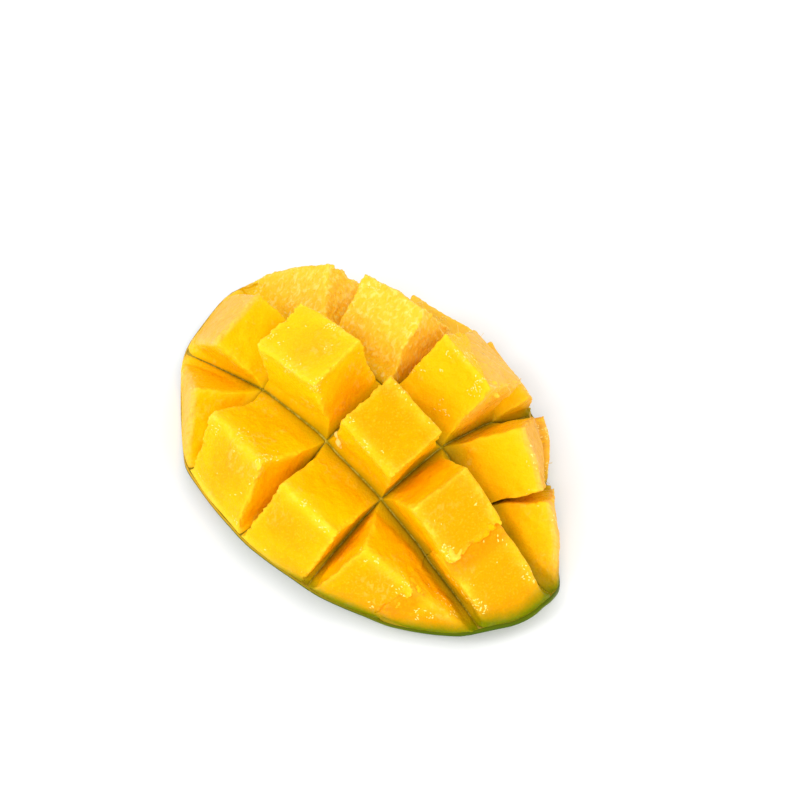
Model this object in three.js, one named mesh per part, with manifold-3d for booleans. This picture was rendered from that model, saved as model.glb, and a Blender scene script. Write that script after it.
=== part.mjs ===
// Mango cheek scored crosswise and lengthwise down to the skin and turned inside out.
// Millimetres, +Z up. The cheek lies on the rim of its skin with the flesh upwards.
// The origin is the middle of the footprint on the floor.
// The fresh cheek is described on its flat cut face: x across, y along, depth below the face.
// Each scored cell then turns as one stiff block with its patch of skin.
import * as THREE from 'three';
import { mergeVertices } from 'three/addons/utils/BufferGeometryUtils.js';
import Module from 'manifold-3d';

const wasm = await Module();
wasm.setup();

// Fresh cheek
const HALF_LENGTH = 64;
const HALF_WIDTH = 42;
const WIDER_END = 0.16;
const DEPTH = 28;
const DEPTH_POWER = 0.5;

// Scored cuts, measured from the middle of the flat face
const LENGTH_CUTS = [-15, 5, 27];
const CROSS_CUTS = [29.5, 5.5, -16, -35.5];
const CUT_WIDTH = 0.5;

// Skin with the thin flesh that the knife left on it
const FLOOR = 4;
const ROOT = 1.5;
const LIP = 0.985;
const RIM_FLOOR = 0.35;
const RIM_ROOT = 0.7;

// Lean of the blocks in degrees, across for each row and along for each column
const ROW_LEAN = [-63, -15, 45, 77];
const COLUMN_LEAN = [52, 11, -14, -42, -48];

// Blocks that turned further than their row and column, as turns about x, y and z
const ODD_TURNS = {
  '0,1': [1, -6, -3],
  '0,2': [0, -5, -1],
  '0,3': [-3, 6, 0],
  '0,4': [-5, 12, 2],
  '1,0': [-3, -5, -4],
  '1,1': [0, 4, 4],
  '1,2': [3, 1, 1],
  '2,0': [4, 2, 1],
  '2,2': [-4, -5, 1],
  '2,4': [7, 2, -2],
};

// Height of a block's stone side over the flat face at its low and high x, where the knife strayed,
// full where the block is at least CROWN_ROOT deep
const CROWN = { '2,0': [1.6, -4], '2,1': [1, -4.5], '2,3': [0.2, -2.6] };
const CROWN_ROOT = 8;

// Blunt end and thin corner of the cheek, each over a range of x and a range of y
const BLUNT_END = { push: 9, x: [2, 14], y: [40, 63] };
const THIN_CORNER = { drop: 3.2, x: [8, 24], y: [-22, -38] };

// Turn of the whole piece that sets its rim level on the floor
const LEVEL = [-0.9, -0.6, 0];
const FLAT_SPOT = 0.6;

// Zone beside a cut in which the skin bends, and its reach up into the blocks
const BEND_REACH = 4;
const BEND_HEIGHT = 4.5;

// Mesh fineness
const SHELL_STEPS = [38, 26];
const BLOCK_STEPS = [5, 4];
const BLOCK_LEVELS = [0, 1.5, 3, 4.5];
const SETTLE_ROUNDS = 400;

const ROWS = ROW_LEAN.length;
const COLUMNS = COLUMN_LEAN.length;
const SAMPLES_ON_CUT = [0.1, 0.5, 0.9];

const halfWidth = (y) => HALF_WIDTH * (1 + (WIDER_END * y) / HALF_LENGTH)
  * Math.sqrt(Math.max(0, 1 - (y / HALF_LENGTH) ** 2));

function depth(x, y) {
  const across = x / (HALF_WIDTH * (1 + (WIDER_END * y) / HALF_LENGTH));
  return DEPTH * Math.max(0, 1 - across ** 2 - (y / HALF_LENGTH) ** 2) ** DEPTH_POWER;
}

const clamp = (value, low, high) => Math.min(high, Math.max(low, value));
const { lerp, smoothstep } = THREE.MathUtils;

// Edges of a row across the face, and of a column along it
const rowEdges = (row) => [LENGTH_CUTS[row - 1] ?? -Infinity, LENGTH_CUTS[row] ?? Infinity];
const columnEdges = (column) => [CROSS_CUTS[column - 1] ?? Infinity, CROSS_CUTS[column] ?? -Infinity];

// Position along the face at which the outline is as wide as x
function outlineEnd(x, sign, share) {
  let y = sign * HALF_LENGTH * share;
  for (let round = 0; round < 8; round += 1) {
    const reach = x / (HALF_WIDTH * share * (1 + (WIDER_END * y) / HALF_LENGTH));
    y = sign * HALF_LENGTH * share * Math.sqrt(Math.max(0, 1 - reach ** 2));
  }
  return y;
}

const turnOf = (degrees) => {
  const vector = new THREE.Vector3(...degrees).multiplyScalar(Math.PI / 180);
  const angle = vector.length();
  const axis = angle > 0 ? vector.normalize() : vector.set(0, 0, 1);
  return new THREE.Quaternion().setFromAxisAngle(axis, angle);
};

function blockTurn(row, column) {
  const turn = turnOf([-COLUMN_LEAN[column], ROW_LEAN[row], 0]);
  const odd = ODD_TURNS[`${row},${column}`];
  return odd ? turn.multiply(turnOf(odd)) : turn;
}

const level = turnOf(LEVEL);
const blocks = [];
for (let row = 0; row < ROWS; row += 1) {
  for (let column = 0; column < COLUMNS; column += 1) {
    const turn = level.clone().multiply(blockTurn(row, column));
    blocks.push({ row, column, turn, shift: new THREE.Vector3() });
  }
}
const blockAt = (row, column) => blocks[row * COLUMNS + column];

const skinPoint = (x, y) => new THREE.Vector3(x, y, -depth(x, y));

// Span of one cut between two neighbouring blocks, kept at least a millimetre long
function seam(block, next) {
  if (block.row !== next.row) {
    const x = LENGTH_CUTS[block.row];
    const [far, near] = columnEdges(block.column);
    const start = Math.min(far, outlineEnd(x, 1, 1));
    return [[x, start], [x, Math.min(start - 1, Math.max(near, outlineEnd(x, -1, 1)))]];
  }
  const y = CROSS_CUTS[block.column];
  const [low, high] = rowEdges(block.row);
  const start = Math.max(low, -halfWidth(y));
  return [[start, y], [Math.max(start + 1, Math.min(high, halfWidth(y))), y]];
}

// Neighbouring blocks pull each other together until their skin meets along every cut
function settle() {
  const ties = [];
  for (const block of blocks) {
    const next = [blockAt(block.row + 1, block.column), blockAt(block.row, block.column + 1)];
    if (block.column === COLUMNS - 1) {
      next.pop();
    }
    for (const other of next.filter((candidate) => candidate)) {
      const [from, to] = seam(block, other);
      const weight = Math.hypot(to[0] - from[0], to[1] - from[1]);
      for (const share of SAMPLES_ON_CUT) {
        const point = skinPoint(lerp(from[0], to[0], share), lerp(from[1], to[1], share));
        const gap = point.clone().applyQuaternion(block.turn).sub(point.clone().applyQuaternion(other.turn));
        ties.push({ block, other, gap, weight });
      }
    }
  }
  for (let round = 0; round < SETTLE_ROUNDS; round += 1) {
    for (const block of blocks) {
      const sum = new THREE.Vector3();
      let total = 0;
      for (const tie of ties) {
        if (tie.block === block) {
          sum.addScaledVector(tie.other.shift.clone().sub(tie.gap), tie.weight);
          total += tie.weight;
        } else if (tie.other === block) {
          sum.addScaledVector(tie.block.shift.clone().add(tie.gap), tie.weight);
          total += tie.weight;
        }
      }
      block.shift.copy(sum.divideScalar(total));
    }
  }
}

const carry = (block, point) => point.clone().applyQuaternion(block.turn).add(block.shift);

// Share of a point that belongs to each row or column, changing smoothly beside the cuts
function shares(value, cuts, direction) {
  const past = cuts.map((cut) => smoothstep(direction * (value - cut), -BEND_REACH, BEND_REACH));
  return [1, ...past].map((share, index) => share - (past[index] ?? 0));
}

// Share from 0 at the first to 1 at the second value of a range, which may fall
function risen(value, [from, to]) {
  const sign = Math.sign(to - from);
  return smoothstep(sign * value, sign * from, sign * to);
}

// Point with the blunt end pushed in and the thin corner lowered
function shaped(point) {
  const end = BLUNT_END.push * risen(point.x, BLUNT_END.x) * risen(point.y, BLUNT_END.y);
  const corner = THIN_CORNER.drop * risen(point.x, THIN_CORNER.x) * risen(point.y, THIN_CORNER.y);
  return new THREE.Vector3(point.x, point.y - end, point.z - corner * (1 + point.z / DEPTH));
}

// Point of the bent skin layer
function bent(point) {
  const place = shaped(point);
  const rowShares = shares(point.x, LENGTH_CUTS, 1);
  const columnShares = shares(point.y, CROSS_CUTS, -1);
  const sum = new THREE.Vector3();
  for (const block of blocks) {
    const share = rowShares[block.row] * columnShares[block.column];
    if (share > 0) {
      sum.addScaledVector(carry(block, place), share);
    }
  }
  return sum;
}

// Closed solid with the six sides of a lattice of points given by steps u, v and w
function latticeSolid(countU, countV, countW, pointAt) {
  const vertices = [];
  const triangles = [];
  const known = new Map();
  const vertex = (u, v, w) => {
    const key = (u * (countV + 1) + v) * (countW + 1) + w;
    if (!known.has(key)) {
      known.set(key, vertices.length / 3);
      vertices.push(...pointAt(u, v, w).toArray());
    }
    return known.get(key);
  };
  const side = (countA, countB, corner) => {
    for (let a = 0; a < countA; a += 1) {
      for (let b = 0; b < countB; b += 1) {
        const [p, q, r, s] = [corner(a, b), corner(a + 1, b), corner(a + 1, b + 1), corner(a, b + 1)];
        triangles.push(p, q, r, p, r, s);
      }
    }
  };
  side(countV, countU, (v, u) => vertex(u, v, 0));
  side(countU, countV, (u, v) => vertex(u, v, countW));
  side(countU, countW, (u, w) => vertex(u, 0, w));
  side(countW, countU, (w, u) => vertex(u, countV, w));
  side(countW, countV, (w, v) => vertex(0, v, w));
  side(countV, countW, (v, w) => vertex(countU, v, w));
  return new wasm.Manifold(new wasm.Mesh({
    numProp: 3,
    vertProperties: new Float32Array(vertices),
    triVerts: new Uint32Array(triangles),
  }));
}

// Skin with its thin layer of uncut flesh
function shell() {
  const [stepsAlong, stepsAcross] = SHELL_STEPS;
  return latticeSolid(stepsAcross, stepsAlong, 1, (u, v, w) => {
    const share = w ? LIP : 1;
    const y = share * HALF_LENGTH * Math.sin(Math.PI * (v / stepsAlong - 0.5));
    const x = share * halfWidth(y / share) * Math.sin(Math.PI * (u / stepsAcross - 0.5));
    const below = depth(x, y);
    return bent(new THREE.Vector3(x, y, w ? -Math.max(below - FLOOR, below * RIM_FLOOR) : -below));
  });
}

// Spacing of lattice lines along a block, closer together at the round ends
function along(share, column) {
  if (column === 0) {
    return 1 - Math.cos((Math.PI / 2) * share);
  }
  return column === COLUMNS - 1 ? Math.sin((Math.PI / 2) * share) : share;
}

// One scored block, rooted in the skin layer
function blockSolid(block) {
  const [low, high] = rowEdges(block.row);
  const [far, near] = columnEdges(block.column);
  const kerf = CUT_WIDTH / 2;
  const nearestX = clamp(0, low + kerf, high - kerf);
  const start = Math.min(far - kerf, outlineEnd(nearestX, 1, LIP));
  const end = Math.max(near + kerf, outlineEnd(nearestX, -1, LIP));
  const [stepsAlong, stepsAcross] = BLOCK_STEPS;
  const [crownLow, crownHigh] = CROWN[`${block.row},${block.column}`] ?? [0, 0];
  return latticeSolid(stepsAlong, stepsAcross, BLOCK_LEVELS.length, (u, v, w) => {
    const y = lerp(start, end, along(u / stepsAlong, block.column));
    const reach = LIP * halfWidth(y / LIP);
    const left = clamp(low + kerf, -reach, reach);
    const right = clamp(high - kerf, -reach, reach);
    const x = lerp(left, right, v / stepsAcross);
    const below = depth(x, y);
    const root = Math.max(below - FLOOR + ROOT, below * RIM_ROOT);
    const full = root + lerp(crownLow, crownHigh, v / stepsAcross) * Math.min(1, root / CROWN_ROOT);
    const height = Math.min(BLOCK_LEVELS[w] ?? Infinity, (full * w) / BLOCK_LEVELS.length);
    const point = new THREE.Vector3(x, y, height - root);
    const stiff = smoothstep(height, 0, BEND_HEIGHT);
    return bent(point).lerp(carry(block, shaped(point)), stiff);
  });
}

// Fills the tiny voids shut in where two blocks touch above a narrow cut
function withoutVoids(solid) {
  return wasm.Manifold.union(solid.decompose().filter((body) => body.volume() > 0));
}

function joined() {
  settle();
  return withoutVoids(wasm.Manifold.union([shell(), ...blocks.map(blockSolid)]));
}

function toSolid(geometry) {
  const bare = geometry.clone();
  bare.deleteAttribute('normal');
  bare.deleteAttribute('uv');
  const merged = mergeVertices(bare);
  return new wasm.Manifold(new wasm.Mesh({
    numProp: 3,
    vertProperties: new Float32Array(merged.attributes.position.array),
    triVerts: new Uint32Array(merged.index.array),
  }));
}

// Cuts the small flat spots that the rim rests on
function flattened(solid, bottom) {
  const size = 4 * HALF_LENGTH;
  const below = new THREE.BoxGeometry(size, size, size);
  below.translate(0, 0, bottom - size / 2);
  return solid.subtract(toSolid(below));
}

function toGeometry(solid) {
  const mesh = solid.getMesh();
  const geometry = new THREE.BufferGeometry();
  geometry.setAttribute('position', new THREE.BufferAttribute(mesh.vertProperties, 3));
  geometry.setIndex(new THREE.BufferAttribute(mesh.triVerts, 1));
  return geometry;
}

const flesh = new THREE.MeshStandardMaterial({ color: 0xf7b500, roughness: 0.42, metalness: 0 });
const whole = joined();
const bottom = whole.boundingBox().min[2] + FLAT_SPOT;
const solid = flattened(whole, bottom);
const box = solid.boundingBox();
const cheek = new THREE.Mesh(toGeometry(solid), flesh);
cheek.name = 'mango_cheek';
cheek.position.set(-(box.min[0] + box.max[0]) / 2, -(box.min[1] + box.max[1]) / 2, -bottom);

const group = new THREE.Group();
group.name = 'mango_half';
group.add(cheek);
export default group;
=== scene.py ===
"""A fresh mango cheek, scored down to its skin and turned inside out.

The cheek is first described as it lay before it was turned: x across its flat cut face, y along it
and z above it, in millimetres. Every scored cell then turns with its own patch of skin.
"""
import logging
import math
from dataclasses import dataclass, field
from enum import Enum
from typing import Any, ClassVar, Iterator, Sequence, Union

import bpy
import numpy as np
from mathutils import Matrix, Vector


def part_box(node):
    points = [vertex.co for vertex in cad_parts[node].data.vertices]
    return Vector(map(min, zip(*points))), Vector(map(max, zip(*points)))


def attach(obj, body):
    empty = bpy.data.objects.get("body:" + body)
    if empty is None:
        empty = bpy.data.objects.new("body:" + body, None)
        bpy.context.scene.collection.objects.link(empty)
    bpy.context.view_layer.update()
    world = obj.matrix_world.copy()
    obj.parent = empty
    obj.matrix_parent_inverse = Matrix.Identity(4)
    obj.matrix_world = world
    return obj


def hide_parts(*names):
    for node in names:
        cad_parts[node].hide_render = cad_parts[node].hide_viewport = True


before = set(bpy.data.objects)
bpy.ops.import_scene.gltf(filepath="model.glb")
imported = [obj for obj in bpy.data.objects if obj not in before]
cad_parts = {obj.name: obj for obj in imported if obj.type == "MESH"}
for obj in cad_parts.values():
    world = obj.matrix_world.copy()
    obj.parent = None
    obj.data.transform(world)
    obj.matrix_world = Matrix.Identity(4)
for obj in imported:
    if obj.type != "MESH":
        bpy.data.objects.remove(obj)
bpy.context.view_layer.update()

NODE = "mango_cheek"
BODY = "root"
FIRST_TORN_SEED = 100
MM = 0.001
TINY = 1e-6
UP = Vector((0.0, 0.0, 1.0))

# Values at the points of the flesh, read by its finish and by what is strewn on it.
PAINTED = (
    "rise", "wall", "ridge", "edge", "rim", "middle", "torn", "pebbles", "warmth", "paleness",
    "fibrous", "brown", "along", "bare", "lane", "band", "floor",
)
STREWN = ("wet", "fringe")

Array = np.ndarray
Cell = tuple[int, int]
Key = Union[str, int]
Triple = tuple[float, float, float]
Quads = list[tuple[int, ...]]
Value = Union["Term", float, str, Sequence[float]]
Coats = list[tuple["Term", Triple]]

log = logging.getLogger("mango_cheek")


def smoothstep(value: Array, low: float, high: float) -> Array:
    """Rises smoothly from 0 at low to 1 at high."""
    share = np.clip((value - low) / (high - low), 0.0, 1.0)
    return share * share * (3.0 - 2.0 * share)


def bump_at(distance: Array, width: float) -> Array:
    """Is 1 at distance 0 and fades to 0 over about twice the width."""
    return np.exp(-((distance / width) ** 2))


def turn_of(degrees: Sequence[float]) -> Array:
    """Rotation matrix of a turn given as its axis, as long as its angle in degrees."""
    vector = Vector([math.radians(part) for part in degrees])
    axis = vector.normalized() if vector.length > 0.0 else UP
    return np.array(Matrix.Rotation(vector.length, 3, axis))


def in_scene(name: str, data: bpy.types.ID) -> bpy.types.Object:
    """New object of the scene that shows some data."""
    made = bpy.data.objects.new(name, data)
    bpy.context.scene.collection.objects.link(made)
    return made


class Term:
    """A node socket that takes part in sums and products."""

    def __init__(self, graph: "Graph", socket: bpy.types.NodeSocket) -> None:
        """Wraps one socket of a graph."""
        self.graph = graph
        self.socket = socket

    def __add__(self, other: Value) -> "Term":
        """Sum."""
        return self.graph.math("ADD", self, other)

    def __sub__(self, other: Value) -> "Term":
        """Difference."""
        return self.graph.math("SUBTRACT", self, other)

    def __rsub__(self, other: Value) -> "Term":
        """Difference with the value first."""
        return self.graph.math("SUBTRACT", other, self)

    def __mul__(self, other: Value) -> "Term":
        """Product."""
        return self.graph.math("MULTIPLY", self, other)

    __radd__ = __add__
    __rmul__ = __mul__

    def clamped(self) -> "Term":
        """The same value kept between 0 and 1."""
        return self.graph.add("ShaderNodeClamp", {}, {"Value": self}, "Result")


class Graph:
    """A node tree that is being built."""

    def __init__(self, tree: bpy.types.NodeTree) -> None:
        """Starts on a tree."""
        self.tree = tree

    def add(
        self, kind: str, settings: dict[str, Any], sockets: dict[Key, Value], output: Key = 0
    ) -> Term:
        """Adds one node.

        Args:
            kind: the node's type.
            settings: its own settings, such as an operation.
            sockets: values or links of its inputs, by name or place.
            output: the output that is wanted.

        Returns:
            That output, or an input where the node has no outputs.
        """
        node = self.tree.nodes.new(kind)
        for key, value in settings.items():
            setattr(node, key, value)
        for key, value in sockets.items():
            self.feed(node.inputs[key], value)
        ends = node.outputs if len(node.outputs) else node.inputs
        return Term(self, ends[output])

    def feed(self, target: bpy.types.NodeSocket, value: Value) -> None:
        """Links an input to a term, or sets its value."""
        if isinstance(value, Term):
            self.tree.links.new(value.socket, target)
        elif target.type == "RGBA":
            target.default_value = (*value, 1.0)
        else:
            target.default_value = value

    def math(self, operation: str, *terms: Value) -> Term:
        """One step of arithmetic."""
        return self.add("ShaderNodeMath", {"operation": operation}, dict(enumerate(terms)))

    def vector(self, operation: str, first: Value, second: Value, place: Key = 1) -> Term:
        """One step of arithmetic on vectors, the second value going to the given input."""
        return self.add("ShaderNodeVectorMath", {"operation": operation}, {0: first, place: second})

    def ranged(
        self, value: Value, low: float, high: float, to_low: float = 0.0, to_high: float = 1.0
    ) -> Term:
        """Value mapped smoothly from one range to another."""
        sockets = {"Value": value, 1: low, 2: high, 3: to_low, 4: to_high}
        return self.add("ShaderNodeMapRange", {"interpolation_type": "SMOOTHSTEP"}, sockets)

    def noise(
        self, place: Value, size: float, detail: float, roughness: float = 0.5,
        distortion: float = 0.0,
    ) -> Term:
        """Noise whose patches are about size metres across."""
        sockets = {
            "Vector": place,
            "Scale": 1.0 / size,
            "Detail": detail,
            "Roughness": roughness,
            "Distortion": distortion,
        }
        return self.add("ShaderNodeTexNoise", {}, sockets)

    def mixed(self, share: Value, first: Value, second: Value) -> Term:
        """Colour between two others."""
        return self.add("ShaderNodeMix", {"data_type": "RGBA"}, {0: share, 6: first, 7: second}, 2)

    def coated(self, colour: Term, coats: Coats) -> Term:
        """Colour with others laid over it one after another, each by its share."""
        for share, tint in coats:
            colour = self.mixed(share, colour, tint)
        return colour

    def attribute(self, name: str) -> Term:
        """Value that a mesh carries at its points, for a finish."""
        return self.add("ShaderNodeAttribute", {"attribute_name": name}, {}, "Fac")

    def carried(self, name: str) -> Term:
        """Value that a mesh carries at its points, for a tree that changes it."""
        return self.add("GeometryNodeInputNamedAttribute", {"data_type": "FLOAT"}, {"Name": name})

    def bump(self, relief: Term, strength: float, distance: float) -> Term:
        """Normal of a surface with relief."""
        sockets = {"Strength": strength, "Distance": distance, "Height": relief}
        return self.add("ShaderNodeBump", {}, sockets, "Normal")

    def principled(self, sockets: dict[Key, Value], **settings: Any) -> Term:
        """Shader of a surface."""
        return self.add("ShaderNodeBsdfPrincipled", settings, sockets, "BSDF")


class Finish:
    """A procedural material that is made once."""

    name: str

    def material(self) -> bpy.types.Material:
        """The material, built on first use."""
        if self.name in bpy.data.materials:
            return bpy.data.materials[self.name]
        made = bpy.data.materials.new(self.name)
        made.use_nodes = True
        made.node_tree.nodes.clear()
        graph = Graph(made.node_tree)
        place = graph.add("ShaderNodeTexCoord", {}, {}, "Object")
        graph.add("ShaderNodeOutputMaterial", {}, {"Surface": self.shader(graph, place)})
        return made

    def shader(self, graph: Graph, place: Term) -> Term:
        """Builds the nodes of the material and returns its shader."""
        raise NotImplementedError


@dataclass(frozen=True)
class EvenFinish(Finish):
    """The same colour and gloss all over, for things too small to show more and for the floor."""

    name: str
    colour: Triple
    roughness: float
    specular: float = 0.5
    coat: float = 0.0
    coat_roughness: float = 0.03

    def shader(self, graph: Graph, place: Term) -> Term:
        """Builds the plain surface."""
        return graph.principled({
            "Base Color": self.colour,
            "Roughness": self.roughness,
            "Specular IOR Level": self.specular,
            "Coat Weight": self.coat,
            "Coat Roughness": self.coat_roughness,
        })


# Beads of juice: glossy, and paler than the flesh partly as a painted highlight.
JUICE = EvenFinish("juice", (1.0, 0.72, 0.13), 0.08, specular=0.4, coat=0.5, coat_roughness=0.04)
PALE_FIBRE = EvenFinish("pale_fibre", (0.82, 0.56, 0.11), 0.5)
PALE_FLOOR = EvenFinish("pale_floor", (0.93, 0.93, 0.93), 0.7)


@dataclass(frozen=True)
class WaxyPeel(Finish):
    """Green skin with small pale dots outside, olive flesh stain inside."""

    name: str = "waxy_peel"
    green: Triple = (0.052, 0.102, 0.001)
    light_green: Triple = (0.125, 0.165, 0.002)
    blush: Triple = (0.34, 0.11, 0.006)
    dot: Triple = (0.30, 0.28, 0.07)
    inner: Triple = (0.075, 0.105, 0.0)
    ripe_inner: Triple = (0.60, 0.33, 0.01)
    cloud_size: float = 0.03
    mottle_size: float = 0.003
    dots_per_metre: float = 260.0
    relief_depth: float = 0.0003

    def shader(self, graph: Graph, place: Term) -> Term:
        """Builds the skin from its two sides and its dots."""
        clouds = graph.noise(place, self.cloud_size, 3.0)
        mottle = graph.noise(place, self.mottle_size, 3.0, 0.6)
        inside, rim, along = (graph.attribute(name) for name in ("inside", "rim", "along"))
        cells = {"Vector": place, "Scale": self.dots_per_metre, "Randomness": 1.0}
        from_dot = graph.add("ShaderNodeTexVoronoi", {}, cells, "Distance")
        dots = graph.ranged(from_dot, 0.16, 0.10) * 0.8
        green = graph.mixed(graph.ranged(clouds, 0.35, 0.65), self.green, self.light_green)
        colour = graph.coated(green, [
            (graph.ranged(clouds + along * 0.22 - rim * 0.2, 0.35, 0.65) * 0.75, self.blush),
            (dots, self.dot),
            (graph.ranged(mottle, 0.3, 0.8) * 0.2, self.light_green),
        ])
        inner = graph.mixed(graph.ranged(along, -0.75, 0.45), self.inner, self.ripe_inner)
        return graph.principled({
            "Base Color": graph.mixed(graph.ranged(inside, 0.2, 0.6), colour, inner),
            "Roughness": graph.ranged(mottle, 0.3, 0.7, 0.3, 0.42),
            "Normal": graph.bump(mottle * 0.4 - dots * 0.5 + clouds * 0.5, 0.3, self.relief_depth),
            "Specular IOR Level": 0.05,
        })


@dataclass(frozen=True)
class WetFlesh(Finish):
    """Ripe flesh: yellow and orange, paler along its edges partly as a painted highlight, olive
    down by the skin and in painted shade low in the grooves.
    """

    name: str = "wet_flesh"
    yellow: Triple = (0.98, 0.53, 0.0)
    orange: Triple = (0.98, 0.35, 0.0)
    pale: Triple = (1.0, 0.63, 0.035)
    peach: Triple = (1.0, 0.51, 0.085)
    lemon: Triple = (1.0, 0.60, 0.05)
    glint: Triple = (1.0, 0.76, 0.17)
    raw_and_shaded: Triple = (0.98, 0.27, 0.0)
    bark: Triple = (0.85, 0.41, 0.045)
    dark_bark: Triple = (0.58, 0.22, 0.02)
    membrane: Triple = (1.0, 0.68, 0.25)
    olive: Triple = (0.34, 0.23, 0.006)
    # Olive flesh by the skin, also laid low on the walls as painted shade.
    near_skin_and_shade: Triple = (0.42, 0.25, 0.0)
    thread: Triple = (0.52, 0.37, 0.04)
    under_peel: Triple = (0.17, 0.19, 0.0)
    cloud_size: float = 0.011
    feather_size: float = 0.0032
    wisp_size: float = 0.0026
    grain_size: float = 0.0016
    wave_size: float = 0.0013
    streak_size: float = 0.0011
    speck_size: float = 0.0006
    relief_depth: float = 0.0005
    scatter_radius: Triple = (1.0, 0.7, 0.1)
    scatter_depth: float = 0.003

    def _masks(self, graph: Graph, place: Term) -> dict[str, Term]:
        """Values of the mesh, and the patterns that several coats of colour share, by name."""
        at = {name: graph.attribute(name) for name in PAINTED}
        at["clouds"] = graph.noise(place, self.cloud_size, 2.0)
        at["grain"] = graph.noise(place, self.grain_size, 4.0, 0.65)
        at["fine"] = graph.noise(place, self.speck_size, 3.0, 0.6)
        at["feathers"] = graph.ranged(graph.noise(place, self.feather_size, 5.0, 0.7), 0.5, 0.6)
        at["very_pale"] = (at["paleness"] - 0.5).clamped()
        at["green_end"] = graph.ranged(at["along"], 0.15, -0.5)
        lanes = {"X": at["lane"] * MM, "Y": at["rise"] * (0.12 * MM)}
        fibre_way = graph.add("ShaderNodeCombineXYZ", {}, lanes)
        at["streaks"] = graph.ranged(graph.noise(fibre_way, self.streak_size, 3.0, 0.6), 0.48, 0.62)
        wisps = graph.noise(fibre_way, self.wisp_size, 4.0, 0.6, 1.5)
        at["wisps"] = at["band"] * graph.ranged(wisps, 0.50, 0.64)
        stretched = graph.vector("MULTIPLY", place, (1.0, 1.0, 0.45))
        at["wave"] = graph.noise(stretched, self.wave_size, 1.5, 0.5, 0.5)
        puddles = graph.ranged(at["clouds"], 0.52, 0.62) * at["pebbles"]
        at["sheen"] = (graph.ranged(at["pebbles"], 0.6, 1.0) * 0.8 + puddles).clamped()
        # Painted highlight: pale glint colour laid where the wet relief is highest.
        at["crests"] = graph.ranged(at["wave"], 0.5, 0.66) * at["sheen"]
        return at

    def _ripeness(self, at: dict[str, Term]) -> Term:
        """Share of orange, by the warmth of the chunk and in clouds, least on walls and ridges."""
        drift = (at["clouds"] - 0.5) * (1.4 - at["wall"] * 0.7) + (at["grain"] - 0.5) * 0.8
        warm = at["warmth"] * (1.0 - at["wall"] * 0.8) + drift * (1.0 - at["very_pale"] * 1.6)
        return warm + at["middle"] * 0.5 - at["ridge"] * 0.4

    def _faces(self, graph: Graph, at: dict[str, Term]) -> Coats:
        """Pale ridges and edges, partly paler flesh and partly a painted highlight, and the stone
        side with its fibres and membrane.
        """
        wall, grain, rise, very_pale = at["wall"], at["grain"], at["rise"], at["very_pale"]
        chalky = at["paleness"] * (very_pale * 1.4 + 1.0 - wall * 0.7)
        upper = graph.ranged(rise, 7.0, 20.0) * 0.5 + 0.5
        # Ridges and edges: paler flesh, and partly a painted highlight.
        ridges = at["ridge"] * (at["feathers"] * 0.45 + 0.25)
        inner = graph.ranged(at["rim"], 0.75, 0.4, 0.35, 1.0)
        stone_side = at["fibrous"] * inner * graph.ranged(grain, 0.3, 0.6, 0.55, 1.0)
        return [
            (chalky * (grain * 0.5 + 0.4) * upper + ridges + at["edge"] * 0.35, self.pale),
            (stone_side + at["band"] * graph.ranged(grain, 0.30, 0.45), self.peach),
            (very_pale * graph.ranged(rise, 2.0, 9.0) * 1.6, self.lemon),
            (at["streaks"] * at["fibrous"] * 0.35, self.orange),
            (at["wisps"] * 0.6, self.membrane),
        ]

    def _wet_glints_and_shade(self, graph: Graph, at: dict[str, Term]) -> Coats:
        """Painted highlights on the wave tops and painted shade in the hollows of the wet relief,
        and fine painted sparkle.
        """
        very_pale = at["very_pale"]
        # Painted shade: deeper yellow where the wet relief is lowest.
        trough_shade = graph.ranged(at["wave"], 0.5, 0.36) * at["sheen"] * very_pale
        # Painted sparkle: fine pale dots that stand in for glints.
        sparkle_specks = graph.ranged(at["fine"], 0.54, 0.66) * (1.0 - at["wall"] * 0.6)
        return [
            (trough_shade * 0.8, self.yellow),
            (at["crests"] * (very_pale * 0.5 + 0.4), self.glint),
            (sparkle_specks * (1.0 - at["fibrous"] * 0.5) * 0.3, self.pale),
        ]

    def _scars(self, graph: Graph, at: dict[str, Term]) -> Coats:
        """Brown bark of the stone, the pale rim of the cut face, and torn flesh, deeper orange
        partly as painted shade under the tear.
        """
        wall, grain, ridge = at["wall"], at["grain"], at["ridge"]
        bark = at["brown"] * graph.ranged(grain, 0.30, 0.5) * (1.0 - ridge * ridge * ridge)
        by_rim = graph.ranged(at["rim"] + (at["clouds"] - 0.5) * 0.25, 0.66, 0.9) * (1.0 - wall)
        by_rim = by_rim * (1.0 - at["fibrous"] * 0.7)
        # Torn flesh: deeper orange, partly its own colour and partly painted shade under the tear.
        torn = graph.ranged(at["torn"], 0.15, 0.6) * (1.0 - wall * 0.85)
        return [
            (bark, self.bark),
            (bark * at["streaks"] * 0.45, self.dark_bark),
            (by_rim * (0.75 - at["green_end"] * 0.6), self.pale),
            (torn * graph.ranged(grain, 0.3, 0.6, 0.45, 0.85), self.raw_and_shaded),
        ]

    def _by_the_skin(self, graph: Graph, at: dict[str, Term]) -> Coats:
        """Olive and green where the flesh comes near the skin, most at the unripe end, and painted
        shade that darkens the walls towards the grooves.
        """
        wall, rim, rise, grain = at["wall"], at["rim"], at["rise"], at["grain"]
        green_end = at["green_end"]
        uneven_rim = rim + (grain - 0.5) * 0.12
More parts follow.
